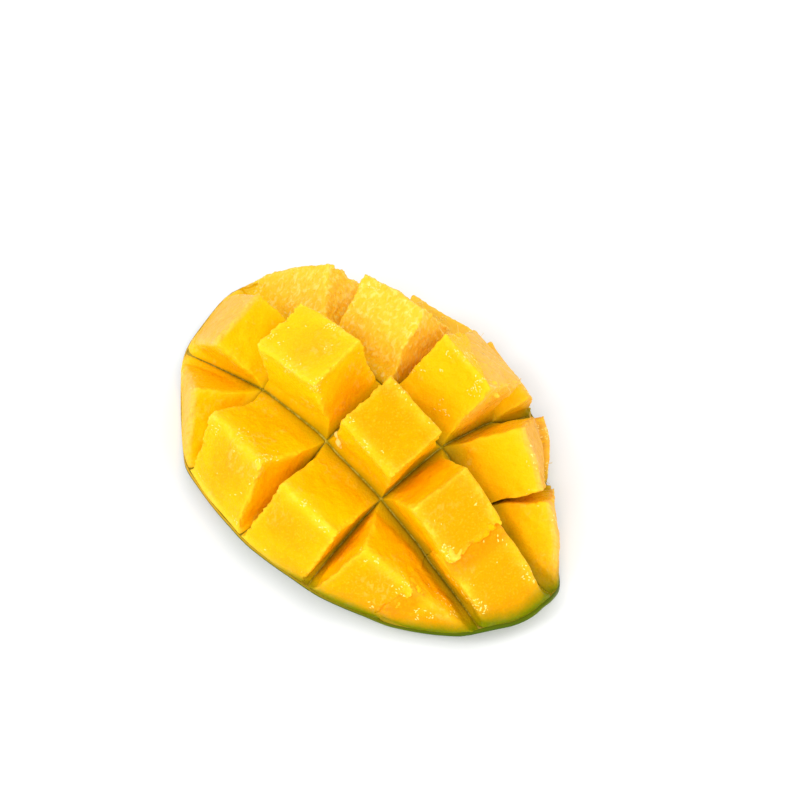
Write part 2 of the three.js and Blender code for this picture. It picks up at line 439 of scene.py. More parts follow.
        # Painted shade: walls darken to olive towards the grooves, also by place along the cheek,
        # beside the olive flesh by the skin.
        above = rise + (at["clouds"] - 0.5) * 3.0 + at["very_pale"] * 3.5 + at["along"] * 2.0
        low = graph.ranged(above, 5.5, -0.5) * wall * graph.ranged(rim, 0.8, 0.4, 0.2, 1.0)
        groove_shade_and_olive = graph.ranged(above, 2.4, -0.8) * wall * green_end * graph.ranged(rim, 0.8, 0.5)
        unripe = 1.0 - graph.ranged(rim, 0.3, 0.6) * at["bare"]
        return [
            (graph.ranged(uneven_rim, 0.42, 0.74) * green_end * 0.9, self.near_skin_and_shade),
            (graph.ranged(uneven_rim, 0.64, 0.88) * green_end, self.under_peel),
            (low * 0.95, self.near_skin_and_shade),
            (groove_shade_and_olive * 0.75, self.olive),
            (graph.ranged(rise + (grain - 0.5) * 0.4, 0.35, 0.05) * unripe, self.olive),
            (at["floor"] * graph.ranged(grain, 0.42, 0.58) * unripe, self.thread),
        ]

    def shader(self, graph: Graph, place: Term) -> Term:
        """Builds the flesh from its distance to the skin, its edges and its grain."""
        at = self._masks(graph, place)
        colour = graph.mixed(self._ripeness(at), self.yellow, self.orange)
        for coats in (self._faces, self._wet_glints_and_shade, self._scars, self._by_the_skin):
            colour = graph.coated(colour, coats(graph, at))
        grain, sheen, crests = at["grain"], at["sheen"], at["crests"]
        pebbly = grain * (0.5 + at["pebbles"] * 0.3) * (1.0 - at["band"] * 0.8)
        relief = pebbly + at["fine"] * 0.6 + at["wave"] * sheen * 1.8 + at["wisps"]
        coat = at["ridge"] * at["feathers"] * 0.2 + sheen * 0.08 + crests * 0.25
        return graph.principled({
            "Base Color": colour,
            "Roughness": graph.ranged(grain, 0.35, 0.7, 0.22, 0.42) + at["fibrous"] * 0.15,
            "Normal": graph.bump(relief, 0.7, self.relief_depth),
            "IOR": 1.36,
            "Specular IOR Level": 0.04,
            "Subsurface Weight": 0.25,
            "Subsurface Radius": self.scatter_radius,
            "Subsurface Scale": self.scatter_depth,
            "Coat Weight": coat.clamped(),
            "Coat Roughness": 0.12,
        }, subsurface_method="RANDOM_WALK")


@dataclass(frozen=True)
class MeshTree:
    """A node tree that makes one mesh out of another, with named inputs and a fixed seed."""

    name: str
    seed_kind: ClassVar[str] = "Int"
    seed_step: ClassVar[float] = 1

    def sizes(self) -> dict[str, float]:
        """Inputs of the tree that are plain numbers."""
        raise NotImplementedError

    def changed(self, graph: Graph, source: dict[str, Term]) -> Term:
        """Builds the nodes that change the geometry.

        Args:
            graph: the tree that is being built.
            source: its inputs by name.

        Returns:
            The changed geometry.
        """
        raise NotImplementedError

    def tree(self) -> bpy.types.NodeTree:
        """The tree, built on first use, which ends in real geometry with its finish."""
        if self.name in bpy.data.node_groups:
            return bpy.data.node_groups[self.name]
        tree = bpy.data.node_groups.new(self.name, "GeometryNodeTree")
        numbers = dict.fromkeys(self.sizes(), "Float")
        kinds = {"Geometry": "Geometry", **numbers, "Seed": self.seed_kind, "Finish": "Material"}
        for label, kind in kinds.items():
            tree.interface.new_socket(label, in_out="INPUT", socket_type=f"NodeSocket{kind}")
        tree.interface.new_socket("Geometry", in_out="OUTPUT", socket_type="NodeSocketGeometry")
        graph = Graph(tree)
        entry = graph.add("NodeGroupInput", {}, {}).socket.node
        source = {label: Term(graph, entry.outputs[label]) for label in kinds}
        changed = self.changed(graph, source)
        real = graph.add("GeometryNodeRealizeInstances", {}, {"Geometry": changed})
        dressed = {"Geometry": real, "Material": source["Finish"]}
        graph.add("NodeGroupOutput", {}, {0: graph.add("GeometryNodeSetMaterial", {}, dressed)})
        return tree

    def run(self, name: str, mesh: bpy.types.Mesh, seed: int, finish: Finish) -> bpy.types.Mesh:
        """Runs the tree on a mesh, which it uses up.

        Args:
            name: name of the new mesh.
            mesh: the mesh that goes in.
            seed: whole number that sets this mesh apart from others.
            finish: what the result is dressed in.

        Returns:
            The plain mesh that comes out, with no modifier left on it.
        """
        values = {**self.sizes(), "Seed": self.seed_step * seed, "Finish": finish.material()}
        holder = in_scene(f"{name}_source", mesh)
        modifier = holder.modifiers.new("nodes", "NODES")
        modifier.node_group = self.tree()
        for item in modifier.node_group.interface.items_tree:
            if item.in_out == "INPUT" and item.name in values:
                modifier[item.identifier] = values[item.name]
        view = bpy.context.evaluated_depsgraph_get()
        final = holder.evaluated_get(view)
        made = bpy.data.meshes.new_from_object(final, preserve_all_data_layers=True, depsgraph=view)
        made.name = name
        holder.modifiers.clear()
        bpy.data.objects.remove(holder)
        bpy.data.meshes.remove(mesh)
        return made


@dataclass(frozen=True)
class FleshRelief(MeshTree):
    """Pebbly wet grain and ragged cut edges, laid over a chunk, in metres."""

    name: str = "flesh_relief"
    seed_kind: ClassVar[str] = "Float"
    seed_step: ClassVar[float] = 0.37
    pebble_height: float = 0.0003
    pebble_size: float = 0.0014
    ragged_height: float = 0.0018
    ragged_size: float = 0.0024
    wave_height: float = 0.0004
    wave_size: float = 0.006

    def sizes(self) -> dict[str, float]:
        """Height and size of each kind of relief."""
        return {
            "Pebble Height": self.pebble_height,
            "Pebble Size": self.pebble_size,
            "Ragged Height": self.ragged_height,
            "Ragged Size": self.ragged_size,
            "Wave Height": self.wave_height,
            "Wave Size": self.wave_size,
        }

    def changed(self, graph: Graph, source: dict[str, Term]) -> Term:
        """Moves every point of a finer mesh along its normal, least near the skin."""
        coarse = {"Mesh": source["Geometry"], "Level": 1}
        finer = graph.add("GeometryNodeSubdivisionSurface", {}, coarse)
        place = graph.vector("ADD", graph.add("GeometryNodeInputPosition", {}, {}), source["Seed"])

        def relief(label: str, detail: float) -> Term:
            """Noise of one kind, from -1 to 1 times its height."""
            scale = graph.math("DIVIDE", 1.0, source[f"{label} Size"])
            sockets = {"Vector": place, "Scale": scale, "Detail": detail, "Roughness": 0.55}
            noise = graph.add("ShaderNodeTexNoise", {}, sockets)
            return (noise * 2.0 - 1.0) * source[f"{label} Height"]

        pebbly = graph.carried("pebbles") + graph.carried("fibrous") * 0.8
        pebbles = relief("Pebble", 2.0) * pebbly
        height = pebbles + relief("Ragged", 3.0) * graph.carried("edge") + relief("Wave", 2.0)
        height = height * graph.ranged(graph.carried("rise"), 0.6, 3.5)
        normal = graph.add("GeometryNodeInputNormal", {}, {})
        offset = graph.vector("SCALE", normal, height, "Scale")
        return graph.add("GeometryNodeSetPosition", {}, {"Geometry": finer, "Offset": offset})


@dataclass(frozen=True)
class Scatter(MeshTree):
    """Small things strewn over a mesh, most where one of its values is high."""

    value: str
    threshold: float
    density: float
    smallest: float
    largest: float
    lean: Triple
    finish: Finish

    def thing(self, graph: Graph) -> Term:
        """Geometry of one of the things, as large as scale 1."""
        raise NotImplementedError

    def sizes(self) -> dict[str, float]:
        """Things to a square metre, and their scales."""
        return {"Density": self.density, "Smallest": self.smallest, "Largest": self.largest}

    def changed(self, graph: Graph, source: dict[str, Term]) -> Term:
        """Puts the things on the surface, each leaning its own way."""
        seed = source["Seed"]
        density = graph.ranged(graph.carried(self.value), self.threshold, 1.0) * source["Density"]
        ground = {"Mesh": source["Geometry"], "Density": density, "Seed": seed}
        method = {"distribute_method": "RANDOM"}
        spots = graph.add("GeometryNodeDistributePointsOnFaces", method, ground, "Points")
        upright = Term(graph, spots.socket.node.outputs["Rotation"])
        span = {0: tuple(-angle for angle in self.lean), 1: self.lean, "Seed": seed}
        angles = graph.add("FunctionNodeRandomValue", {"data_type": "FLOAT_VECTOR"}, span)
        lean = graph.add("FunctionNodeEulerToRotation", {}, {"Euler": angles})
        turns = {"Rotation": upright, "Rotate By": lean}
        turn = graph.add("FunctionNodeRotateRotation", {"rotation_space": "LOCAL"}, turns)
        scales = {2: source["Smallest"], 3: source["Largest"], "Seed": seed}
        scale = graph.add("FunctionNodeRandomValue", {"data_type": "FLOAT"}, scales, 1)
        placed = {"Points": spots, "Instance": self.thing(graph), "Rotation": turn, "Scale": scale}
        return graph.add("GeometryNodeInstanceOnPoints", {}, placed)


@dataclass(frozen=True)
class JuiceBeads(Scatter):
    """Beads of juice that stand on the wet flesh."""

    name: str = "juice_beads"
    value: str = "wet"
    threshold: float = 0.25
    density: float = 900000.0
    smallest: float = 0.45
    largest: float = 1.0
    lean: Triple = (0.2, 0.2, math.pi)
    finish: Finish = JUICE
    radius: float = 0.00024
    squeeze: Triple = (1.0, 2.2, 0.35)

    def thing(self, graph: Graph) -> Term:
        """A flat long bead with a few dozen faces."""
        sockets = {"Segments": 8, "Rings": 5, "Radius": self.radius}
        ball = graph.add("GeometryNodeMeshUVSphere", {}, sockets, "Mesh")
        flat = graph.add("GeometryNodeTransform", {}, {"Geometry": ball, "Scale": self.squeeze})
        return graph.add("GeometryNodeSetShadeSmooth", {}, {"Geometry": flat})


@dataclass(frozen=True)
class Fibres(Scatter):
    """Short pale fibres that stick out of the stone side."""

    name: str = "fibres"
    value: str = "fringe"
    threshold: float = 0.3
    density: float = 130000.0
    smallest: float = 0.5
    largest: float = 1.3
    lean: Triple = (0.9, 0.9, math.pi)
    finish: Finish = PALE_FIBRE
    length: float = 0.0026
    root: float = 0.0003
    radius: float = 0.0001
    sway: float = 0.0008

    def thing(self, graph: Graph) -> Term:
        """A bent thread with square sides."""
        line = graph.add("GeometryNodeCurveQuadraticBezier", {}, {
            "Resolution": 5,
            "Start": (0.0, 0.0, -self.root),
            "Middle": (0.0, self.sway * 0.3, self.length * 0.5),
            "End": (self.sway * 0.4, self.sway, self.length),
        })
        sides = {"Resolution": 4, "Radius": self.radius}
        ring = graph.add("GeometryNodeCurvePrimitiveCircle", {"mode": "RADIUS"}, sides)
        thread = {"Curve": line, "Profile Curve": ring, "Fill Caps": True}
        return graph.add("GeometryNodeCurveToMesh", {}, thread)


@dataclass(frozen=True)
class Waves:
    """Smooth uneven relief, made from a few waves in seeded directions."""

    size: float
    seed: int
    count: int = 9
    pitches: tuple[float, float] = (0.7, 1.6)

    def at(self, *place: Array) -> Array:
        """Value from about -1 to 1 at each point.

        Args:
            place: the coordinates of the points in millimetres, one array each.

        Returns:
            One value a point.
        """
        points = np.stack(place, axis=1)
        draw = np.random.default_rng(self.seed)
        total = np.zeros(len(points))
        for _ in range(self.count):
            direction = draw.normal(size=points.shape[1])
            direction /= np.linalg.norm(direction)
            pitch = self.size * draw.uniform(*self.pitches)
            phase = draw.uniform(0.0, 2.0 * math.pi)
            total += np.sin(points @ direction * (2.0 * math.pi / pitch) + phase)
        return total / math.sqrt(2.0 * self.count)


@dataclass(frozen=True)
class OddPart:
    """A part of the fresh cheek that leaves the egg shape over a range of x and of y."""

    by: float
    x: tuple[float, float]
    y: tuple[float, float]

    def at(self, points: Array) -> Array:
        """Millimetres by which each point is off."""
        return self.by * smoothstep(points[:, 0], *self.x) * smoothstep(points[:, 1], *self.y)


@dataclass(frozen=True)
class FreshCheek:
    """The half fruit before scoring: half of an egg, wider at its +y end."""

    half_length: float = 64.0
    half_width: float = 42.0
    wider_end: float = 0.16
    depth: float = 28.0
    lip: float = 0.976
    peel: float = 0.9
    bed: float = 3.1
    rim_bed: float = 0.35
    blunt_end: OddPart = OddPart(9.0, (2.0, 14.0), (40.0, 63.0))
    thin_corner: OddPart = OddPart(3.2, (8.0, 24.0), (-22.0, -38.0))
    bare_across: tuple[float, float] = (-8.0, 0.0)
    bare_along: tuple[float, float] = (0.6, 0.75)

    def widening(self, y: Array) -> Array:
        """Half width of the egg at y if its end didn't close in."""
        return self.half_width * (1.0 + self.wider_end * y / self.half_length)

    def reach(self, y: Array, share: float = 1.0) -> Array:
        """Half width of the outline at y, or of one that is smaller by share."""
        closing = 1.0 - (y / (share * self.half_length)) ** 2
        return share * self.widening(y) * np.sqrt(np.maximum(0.0, closing))

    def fullness(self, x: Array, y: Array, share: float = 1.0) -> Array:
        """Depth as a share of the deepest, 0 outside the outline."""
        inside = 1.0 - (x / (share * self.widening(y))) ** 2 - (y / (share * self.half_length)) ** 2
        return np.sqrt(np.maximum(0.0, inside))

    def rim(self, x: Array, y: Array) -> Array:
        """Is 0 in the middle of the cheek and 1 at its rim."""
        return 1.0 - self.fullness(x, y, self.lip)

    def outer_depth(self, x: Array, y: Array) -> Array:
        """Depth of the outside of the skin."""
        return self.depth * self.fullness(x, y)

    def peel_depth(self, x: Array, y: Array) -> Array:
        """Depth of the inside of the peel."""
        return (self.depth - self.peel) * self.fullness(x, y, self.lip)

    def cut_depth(self, x: Array, y: Array) -> Array:
        """Depth at which the cuts stop, above the bed of flesh that they leave on the peel."""
        flesh = self.peel_depth(x, y)
        return np.maximum(flesh - self.bed, flesh * (1.0 - self.rim_bed))

    def bare(self, x: Array, y: Array) -> Array:
        """Is 1 near the blunt end, where ripe flesh lies bare between the chunks and the rim."""
        return smoothstep(x, *self.bare_across) * smoothstep(y / self.half_length, *self.bare_along)

    def shaped(self, points: Array) -> Array:
        """Points with the blunt end pushed in and the thin corner lowered."""
        lowered = self.thin_corner.at(points) * (1.0 + points[:, 2] / self.depth)
        pushed = self.blunt_end.at(points)
        return points - np.stack([np.zeros(len(points)), pushed, lowered], axis=1)

    def outline_end(self, x: float, sign: float, share: float, rounds: int = 8) -> float:
        """Position along the cheek at which its outline is as wide as x.

        Args:
            x: distance from the middle line.
            sign: 1 for the wider end and -1 for the other.
            share: size of the outline, 1 for the whole one.
            rounds: how often the width at the last answer is used for a better one.

        Returns:
            The y at that end.
        """
        y = sign * self.half_length * share
        for _ in range(rounds):
            ratio = x / (share * self.widening(y))
            y = sign * self.half_length * share * math.sqrt(max(0.0, 1.0 - ratio * ratio))
        return y


@dataclass(frozen=True)
class Scoring:
    """Where the knife went, and how far the rows and columns of chunks lean once turned out."""

    length_cuts: tuple[float, ...] = (-15.0, 5.0, 27.0)
    cross_cuts: tuple[float, ...] = (29.5, 5.5, -16.0, -35.5)
    kerf: float = 0.2
    row_lean: tuple[float, ...] = (-63.0, -15.0, 45.0, 77.0)
    column_lean: tuple[float, ...] = (52.0, 11.0, -14.0, -42.0, -48.0)
    level: Triple = (-0.9, -0.6, 0.0)
    crown_root: float = 8.0
    flat_spot: float = 0.6
    bend_reach: float = 4.0
    bend_height: float = 3.2

    @property
    def cells(self) -> list[Cell]:
        """Row and column of every chunk."""
        rows, columns = range(len(self.row_lean)), range(len(self.column_lean))
        return [(row, column) for row in rows for column in columns]

    def row_edges(self, row: int) -> tuple[float, float]:
        """Lowest and highest x of a row."""
        edges = (-math.inf, *self.length_cuts, math.inf)
        return edges[row], edges[row + 1]

    def column_edges(self, column: int) -> tuple[float, float]:
        """Highest and lowest y of a column."""
        edges = (math.inf, *self.cross_cuts, -math.inf)
        return edges[column], edges[column + 1]


# Turns of single chunks on top of the lean of their row and column, each an axis times its degrees.
ODD_TURNS: dict[Cell, Triple] = {
    (0, 1): (1.0, -6.0, -3.0),
    (0, 2): (0.0, -5.0, -1.0),
    (0, 3): (-3.0, 6.0, 0.0),
    (0, 4): (-5.0, 12.0, 2.0),
    (1, 0): (-3.0, -5.0, -4.0),
    (1, 1): (0.0, 4.0, 4.0),
    (1, 2): (3.0, 1.0, 1.0),
    (2, 0): (4.0, 2.0, 1.0),
    (2, 2): (-4.0, -5.0, 1.0),
    (2, 4): (7.0, 2.0, -2.0),
}


@dataclass
class EvertedCheek:
    """The bent skin and the stiff chunks on it, after the cheek was turned inside out."""

    fresh: FreshCheek = field(default_factory=FreshCheek)
    scoring: Scoring = field(default_factory=Scoring)
    shortest_seam: float = 1.0
    seam_points: tuple[float, ...] = (0.1, 0.5, 0.9)

    def __post_init__(self) -> None:
        """Turns every cell and settles the skin between them."""
        self.cells = self.scoring.cells
        level = turn_of(self.scoring.level)
        self.turns = {cell: level @ self._turn(cell) for cell in self.cells}
        self.shifts = self._settled()
        self.origin = np.zeros(3)

    def _turn(self, cell: Cell) -> Array:
        """Turn of one cell from its fresh place."""
        row, column = cell
        lean = turn_of((-self.scoring.column_lean[column], self.scoring.row_lean[row], 0.0))
        return lean @ turn_of(ODD_TURNS.get(cell, (0.0, 0.0, 0.0)))

    def _seam(self, cell: Cell, other: Cell) -> tuple[Array, Array]:
        """Ends of the cut between two neighbouring cells."""
        fresh, scoring, shortest = self.fresh, self.scoring, self.shortest_seam
        if cell[0] != other[0]:
            x = scoring.length_cuts[cell[0]]
            far, near = scoring.column_edges(cell[1])
            start = min(far, fresh.outline_end(x, 1.0, 1.0))
            end = min(start - shortest, max(near, fresh.outline_end(x, -1.0, 1.0)))
            return np.array([x, start]), np.array([x, end])
        y = scoring.cross_cuts[cell[1]]
        low, high = scoring.row_edges(cell[0])
        reach = float(fresh.reach(np.array(y)))
        start = max(low, -reach)
        return np.array([start, y]), np.array([max(start + shortest, min(high, reach)), y])

    def _settled(self) -> dict[Cell, Array]:
        """Shift of each cell that lets the skin meet best along every cut."""
        rows, gaps = [], []
        for cell in self.cells:
            for other in ((cell[0] + 1, cell[1]), (cell[0], cell[1] + 1)):
                if other not in self.turns:
                    continue
                start, end = self._seam(cell, other)
                weight = math.sqrt(np.linalg.norm(end - start))
                for share in self.seam_points:
                    x, y = start + (end - start) * share
                    point = np.array([x, y, -float(self.fresh.outer_depth(x, y))])
                    row = np.zeros(len(self.cells))
                    row[self.cells.index(cell)] = weight
                    row[self.cells.index(other)] = -weight
                    rows.append(row)
                    gaps.append((self.turns[other] - self.turns[cell]) @ point * weight)
        shifts = np.linalg.lstsq(np.array(rows), np.array(gaps), rcond=None)[0]
        return dict(zip(self.cells, shifts))

    def _shares(self, value: Array, cuts: Sequence[float], sign: float) -> Array:
        """Share of each point that belongs to every row or column, smooth beside the cuts."""
        reach = self.scoring.bend_reach
        past = [smoothstep(sign * (value - cut), -reach, reach) for cut in cuts]
        steps = np.array([np.ones(len(value)), *past, np.zeros(len(value))])
        return steps[:-1] - steps[1:]

    def carry(self, points: Array, cell: Cell) -> Array:
        """Points of one stiff chunk in their turned place."""
        return points @ self.turns[cell].T + self.shifts[cell]

    def bent(self, points: Array) -> Array:
        """Points of the bent skin in their turned place."""
        shaped = self.fresh.shaped(points)
        row_shares = self._shares(points[:, 0], self.scoring.length_cuts, 1.0)
        column_shares = self._shares(points[:, 1], self.scoring.cross_cuts, -1.0)
        total = np.zeros_like(points)
        for cell in self.cells:
            share = row_shares[cell[0]] * column_shares[cell[1]]
            near = share > 0.0
            total[near] += share[near, None] * self.carry(shaped[near], cell)
        return total

    def raised(self, points: Array, rise: Array, cell: Cell) -> Array:
        """Points of a chunk, bent like the skin at its root and stiff above.

        Args:
            points: rows in fresh coordinates.
            rise: height of each above the inside of the skin.
            cell: row and column of the chunk.

        Returns:
            Rows in turned coordinates.
        """
        stiff = smoothstep(rise, 0.0, self.scoring.bend_height)[:, None]
        carried = self.carry(self.fresh.shaped(points), cell)
        return self.bent(points) * (1.0 - stiff) + carried * stiff

    def settle_in(self, turned: Array, box: tuple[Vector, Vector]) -> None:
        """Sets the origin so that the turned cheek fills the box of the frame.

        Args:
            turned: points of its skin in turned millimetres.
            box: lowest and highest corner in the frame, in metres.
        """
        low, high = turned.min(axis=0), turned.max(axis=0)
        middle = (np.array(box[0]) + np.array(box[1])) / 2.0 / MM
        self.origin = (low + high) / 2.0 - middle
        self.origin[2] = low[2] + self.scoring.flat_spot

    def to_frame(self, points: Array) -> Array:
        """Turned millimetres to metres in the frame, pressed flat where they meet the floor."""
        placed = points - self.origin
        placed[:, 2] = np.maximum(placed[:, 2], 0.0)
        return placed * MM


@dataclass
class Surface:
    """Points, faces and named values at the points of one mesh to be."""

    points: Array
    faces: Quads
    values: dict[str, Union[Array, float]]

    def mesh(self, name: str) -> bpy.types.Mesh:
        """Makes the Blender mesh, smooth, with its values as point attributes."""
        mesh = bpy.data.meshes.new(name)
        mesh.from_pydata(self.points.tolist(), [], self.faces)
        for key, value in self.values.items():
            layer = mesh.attributes.new(key, "FLOAT", "POINT")
            layer.data.foreach_set("value", np.full(len(self.points), value, dtype=np.float32))
        mesh.shade_smooth()
        mesh.update()
        return mesh


def add_piece(mesh: bpy.types.Mesh, slot: str) -> bpy.types.Object:
    """Puts a finished mesh into the scene as a piece, kept inside the box of the frame.

    Args:
        mesh: the mesh, in frame metres.
        slot: the material slot of the record; not used.

    Returns:
        The new object.
    """
    points = np.empty(3 * len(mesh.vertices))
    mesh.vertices.foreach_get("co", points)
    low, high = (np.array(corner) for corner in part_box(NODE))
    mesh.vertices.foreach_set("co", np.clip(points.reshape(-1, 3), low, high).ravel())
    mesh.update()
    piece = in_scene(mesh.name, mesh)
    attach(piece, BODY)
    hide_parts(NODE)
    return piece


def box_lattice(counts: tuple[int, int, int]) -> tuple[Array, Quads]:
    """Surface of a unit cube as a lattice.

    Args:
        counts: steps along each of its three directions.

    Returns:
        Points from 0 to 1 and outward quads.
    """
    shape = tuple(count + 1 for count in counts)
    rim = np.ones(shape, dtype=bool)
    rim[1:-1, 1:-1, 1:-1] = False
    ids = np.full(shape, -1)
    ids[rim] = np.arange(int(rim.sum()))
    points = np.argwhere(rim) / np.array(counts)
    quads: list[Array] = []
    for axis in range(3):
        for last in (False, True):
            side = np.take(ids, -1 if last else 0, axis=axis)
            flip = last != (axis == 1)
            corners = (side[:-1, :-1], side[1:, :-1], side[1:, 1:], side[:-1, 1:])
            ordered = corners if flip else corners[::-1]
            quads.append(np.stack(ordered, axis=-1).reshape(-1, 4))
    return points, [tuple(map(int, quad)) for quad in np.concatenate(quads)]


def spread(share: Array, ends: float) -> Array:
    """Moves lattice lines towards both ends, by more for a larger ends."""
    return share - ends * np.sin(2.0 * math.pi * share) / (2.0 * math.pi)


def rounded(first: Array, second: Array, radius: Array) -> tuple[Array, Array]:
    """Rounds the corner where two distances to its sides are both small.

    Args:
        first: distance to one side.
        second: distance to the other side.
        radius: radius of the round.

    Returns:
        Both distances, moved in from the corner.
    """
    a = np.maximum(0.0, radius - first)
    b = np.maximum(0.0, radius - second)
    inside = (a > 0.0) & (b > 0.0)
    scale = np.where(inside, np.maximum(a, b) / np.maximum(np.hypot(a, b), 1e-9), 1.0)
    return np.where(inside, radius - a * scale, first), np.where(inside, radius - b * scale, second)


class Flesh(Enum):
    """How the face that lay against the stone looks."""

    SMOOTH = "smooth"
    FIBROUS = "fibrous"


@dataclass(frozen=True)
class ChunkLook:
    """What makes one chunk differ from its neighbours."""

    # Colour and relief of its flesh.
    stone_side: Flesh = Flesh.SMOOTH
    pebbles: float = 0.25
    warmth: float = 0.4
    paleness: float = 0.2
    brown: float = 0.0
    juicy: float = 0.0
    fringe: float = 0.0
    # Membrane past a fold in the stone side, and how far across the fold begins and ends.
    band: float = 0.0
    fold: tuple[float, float] = (0.0, 0.0)
    # Millimetres by which its far end is torn out and sunk, and its near end ragged.
    torn: float = 0.0
    sunk: float = 0.0
    ragged: float = 0.0
    # Radius of its edges, and height of the crown at its two sides, in millimetres.
    long_edge: float = 1.3
    cross_edge: float = 0.5
    crown: tuple[float, float] = (0.0, 0.0)


@dataclass
class Block:
    """Lattice points of one chunk, with the distance of each to its sides, in millimetres."""

    faces: Quads
    # Place in fresh coordinates, and height above the bed.
    x: Array
    y: Array
    z: Array
    rise: Array
    # Distance from the far end and from the left side, and below the stone side.
    along: Array
    across: Array
    below: Array
    # Distance to the nearest long side and end, and from the middle of the stone side.
    side: Array
    end_side: Array
    from_middle: Array
    length: float
    height: Array
    is_right: Array


LOOKS: dict[Cell, ChunkLook] = {
    (0, 0): ChunkLook(Flesh.FIBROUS, warmth=0.0, paleness=0.1, cross_edge=1.4, long_edge=1.8),
    (0, 1): ChunkLook(pebbles=0.5, warmth=0.4, paleness=0.1, juicy=0.25),
    (0, 2): ChunkLook(pebbles=0.3, warmth=0.45, paleness=0.05),
    (0, 3): ChunkLook(pebbles=0.3, warmth=0.6, paleness=0.0, ragged=0.8),
    (0, 4): ChunkLook(pebbles=0.4, warmth=0.75, paleness=0.0, torn=3.0, sunk=0.4, juicy=0.35),
    (1, 0): ChunkLook(
        Flesh.FIBROUS, pebbles=0.45, warmth=0.45, paleness=0.2, long_edge=2.2, cross_edge=1.2,
    ),
    (1, 1): ChunkLook(pebbles=0.5, warmth=0.1, paleness=0.3, juicy=0.25),
    (1, 2): ChunkLook(pebbles=0.2, warmth=0.75, paleness=0.0),
    (1, 3): ChunkLook(pebbles=0.25, warmth=0.95, paleness=0.0, ragged=1.5),
    (1, 4): ChunkLook(pebbles=0.35, warmth=1.0, paleness=0.0, torn=3.6, sunk=1.4, juicy=0.3),
    (2, 0): ChunkLook(Flesh.FIBROUS, pebbles=1.0, warmth=0.0, paleness=1.0, crown=(1.6, -4.0)),
    (2, 1): ChunkLook(Flesh.FIBROUS, pebbles=1.0, warmth=0.0, paleness=0.95, crown=(1.0, -4.5)),
    (2, 2): ChunkLook(
        pebbles=0.6, warmth=0.0, paleness=0.45, juicy=0.65, fringe=1.0, band=0.9, fold=(15.0, 1.0),
    ),
    (2, 3): ChunkLook(
        Flesh.FIBROUS, pebbles=0.35, warmth=0.35, paleness=0.35, brown=0.9, fringe=0.8,
        crown=(0.2, -2.6),
    ),
    (2, 4): ChunkLook(Flesh.FIBROUS, pebbles=0.3, warmth=0.5, paleness=0.3, brown=0.3, fringe=0.5),
    (3, 1): ChunkLook(Flesh.FIBROUS, pebbles=0.7, warmth=0.0, paleness=2.5),
    (3, 3): ChunkLook(Flesh.FIBROUS, warmth=0.5, paleness=0.3, brown=0.9, fringe=0.8),
}


